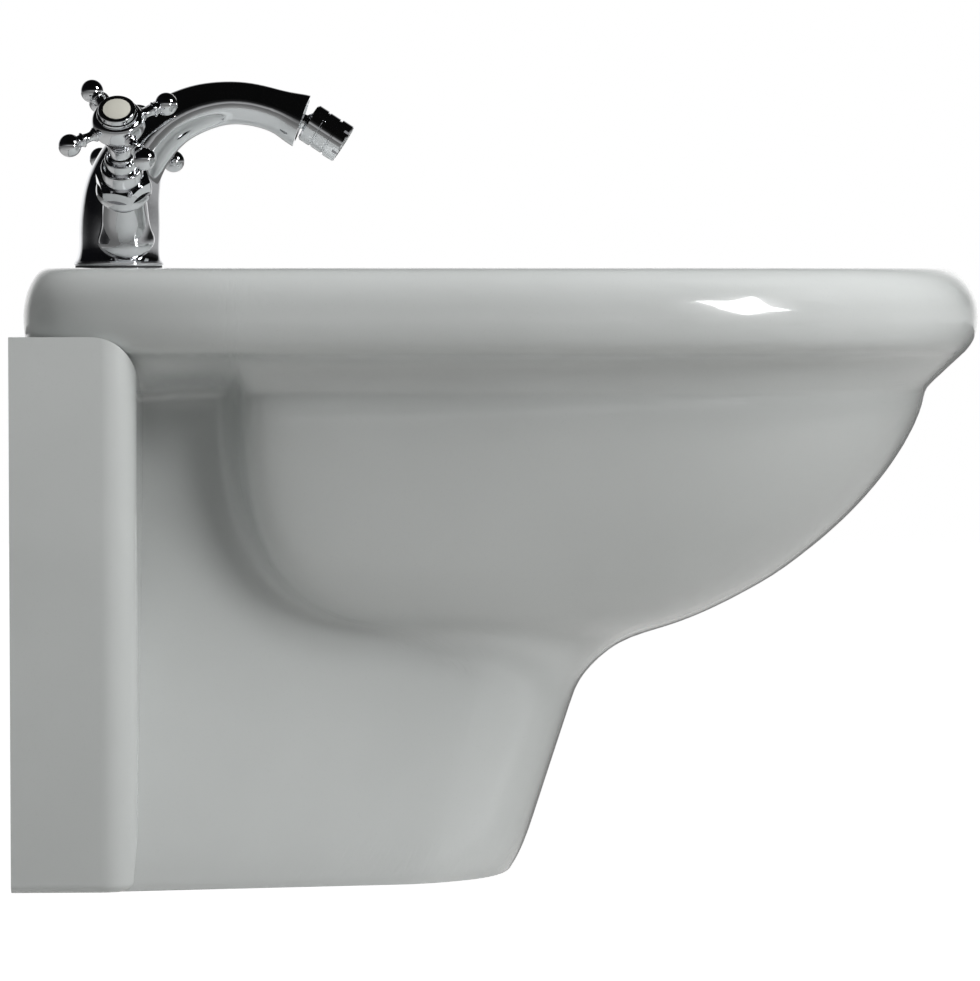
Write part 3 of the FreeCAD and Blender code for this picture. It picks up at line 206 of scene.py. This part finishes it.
def turned_metal(name, light, dark, rough):
    """Bare machined metal with fine tool lines and duller patches."""
    material, nodes = new_material(name)
    patches = nodes.noise(scale=35.0, detail=4.0)
    lines = nodes.noise(scale=260.0, stretch=(0.25, 0.25, 6.0))
    nodes.surface(Base_Color=nodes.mix(nodes.rise(patches, start=0.3, end=0.72), dark, light),
                  Metallic=1.0,
                  Roughness=nodes.scaled(patches, factor=0.18, offset=rough),
                  Normal=nodes.bump(lines, strength=0.25, distance=0.0001))
    return material


def moulded(name, light, dark, rough, grain):
    """Moulded rubber, plastic or ceramic: a fine grain and slightly uneven gloss."""
    material, nodes = new_material(name)
    patches = nodes.noise(scale=50.0, detail=3.0)
    grains = nodes.noise(scale=1400.0)
    nodes.surface(Base_Color=nodes.mix(nodes.rise(patches, start=0.3, end=0.7), dark, light),
                  Roughness=nodes.scaled(patches, factor=0.15, offset=rough),
                  IOR=1.5,
                  Normal=nodes.bump(grains, strength=grain, distance=0.0001))
    return material


def dress():
    """Gives every node of the part the finish of its slot."""
    finishes = {
        "china": glazed("china_glaze", light=(0.610, 0.630, 0.622), dark=(0.582, 0.602, 0.594),
                        wave=22.0),
        "porcelain": glazed("porcelain_glaze", light=(0.66, 0.65, 0.58), dark=(0.60, 0.59, 0.52),
                            wave=60.0),
        "chrome": plated("chrome_plate", light=(0.84, 0.85, 0.87), dark=(0.79, 0.80, 0.82),
                         rough=0.05, scratch=0.015),
        "steel": turned_metal("zinc_steel", light=(0.62, 0.63, 0.65), dark=(0.50, 0.51, 0.54),
                              rough=0.26),
        "brass": turned_metal("raw_brass", light=(0.74, 0.58, 0.30), dark=(0.60, 0.45, 0.21),
                              rough=0.22),
        "rubber": moulded("black_rubber", light=(0.060, 0.060, 0.062), dark=(0.035, 0.035, 0.037),
                          rough=0.55, grain=0.30),
        "white_plastic": moulded("white_plastic", light=(0.74, 0.74, 0.72), dark=(0.68, 0.68, 0.66),
                                 rough=0.28, grain=0.08),
        "valve_ceramic": moulded("valve_ceramic", light=(0.78, 0.77, 0.73), dark=(0.71, 0.70, 0.66),
                                 rough=0.16, grain=0.03),
    }
    for part in frame["record"]["subparts"]:
        node = frame["nodes"][part["node"]]
        node.data.materials.clear()
        node.data.materials.append(finishes[part["material_slot"]])


def make_world():
    """White to the eye. Mirrors see a dark ceiling, a pale floor and the white behind the part."""
    world = bpy.data.worlds.new("studio")
    world.use_nodes = True
    bpy.context.scene.world = world
    nodes = Nodes(world.node_tree)
    path = nodes.add("ShaderNodeLightPath")
    way = nodes.add("ShaderNodeTexCoord").outputs["Generated"]
    side, depth, rise = nodes.add("ShaderNodeSeparateXYZ", {0: way}).outputs
    height = nodes.scaled(rise, factor=0.5, offset=0.5)
    left = nodes.scaled(side, factor=LEFT_SLOPE, offset=LEFT_START, clamp=True)
    shade = nodes.mix(left, nodes.ramp(height, MIRRORED_SHADE), MIRRORED_LEFT)
    behind = nodes.times(nodes.ramp(depth, BEHIND_LIMIT), nodes.ramp(height, HEIGHT_LIMIT))
    behind = nodes.times(behind, nodes.ramp(side, RIGHT_LIMIT))
    mirrored = nodes.mix(behind, shade, WHITE)
    seen = nodes.mix(path.outputs["Is Glossy Ray"], nodes.ramp(height, AMBIENT), mirrored)
    seen = nodes.mix(path.outputs["Is Transmission Ray"], seen, WHITE)
    seen = nodes.mix(path.outputs["Is Camera Ray"], seen, WHITE)
    background = nodes.add("ShaderNodeBackground", {"Color": seen, "Strength": 1.0})
    nodes.end("ShaderNodeOutputWorld", background)


def make_plane(name, corners):
    """One flat face through the corners."""
    mesh = bpy.data.meshes.new(name)
    mesh.from_pydata(corners, [], [tuple(range(len(corners)))])
    plane = bpy.data.objects.new(name, mesh)
    bpy.context.collection.objects.link(plane)
    return plane


def make_floor():
    """A pale floor well below the part, white to the eye apart from the part's shadow."""
    ends = ((-1, -1), (1, -1), (1, 1), (-1, 1))
    floor = make_plane("floor", [(x * FLOOR_REACH, y * FLOOR_REACH, FLOOR_LEVEL) for x, y in ends])
    material, nodes = new_material("floor_white")
    path = nodes.add("ShaderNodeLightPath")
    grain = nodes.mix(nodes.noise(FLOOR_GRAIN), FLOOR_DARK, FLOOR_LIGHT)
    matt = nodes.add("ShaderNodeBsdfDiffuse", {"Color": grain})
    glow = nodes.add("ShaderNodeEmission", {"Color": FLOOR_GLOW, "Strength": 1.0})
    both = nodes.add("ShaderNodeAddShader", {0: matt.outputs[0], 1: glow.outputs[0]})
    pick = nodes.add("ShaderNodeMixShader", {0: path.outputs["Is Camera Ray"], 1: matt.outputs[0],
                                             2: both.outputs[0]})
    nodes.end("ShaderNodeOutputMaterial", pick)
    floor.data.materials.append(material)


def make_card(name, corners):
    """A small bright card that only mirrors see: the window in the glaze."""
    card = make_plane(name, corners)
    material, nodes = new_material(name + "_glow")
    glow = nodes.add("ShaderNodeEmission", {"Color": WHITE, "Strength": CARD_GLOW})
    nodes.end("ShaderNodeOutputMaterial", glow)
    card.data.materials.append(material)
    card.visible_camera = False
    card.visible_diffuse = False
    card.visible_shadow = False


def light_only(light, slots):
    """Lets a light reach only the nodes with these finishes."""
    group = bpy.data.collections.new(light.name + "_receivers")
    for part in frame["record"]["subparts"]:
        if part["material_slot"] in slots:
            group.objects.link(frame["nodes"][part["node"]])
    light.light_linking.receiver_collection = group


def make_lamp(name, place, target, width, height, power):
    """A soft rectangular lamp that mirrors do not see."""
    data = bpy.data.lights.new(name, "AREA")
    data.shape = "RECTANGLE"
    data.size = width
    data.size_y = height
    data.energy = power
    lamp = bpy.data.objects.new(name, data)
    bpy.context.collection.objects.link(lamp)
    lamp.location = place
    lamp.rotation_euler = (Vector(target) - Vector(place)).to_track_quat("-Z", "Y").to_euler()
    lamp.visible_glossy = False
    return lamp


make_camera()
make_world()
make_floor()
for row in LAMPS:
    make_lamp(*row)
make_card("rim_card", RIM_CARD)
sparkle = make_lamp(*SPARKLE_LAMP)
sparkle.visible_glossy = True
light_only(sparkle, ["chrome"])
dress()

bpy.context.scene.view_settings.view_transform = "Standard"
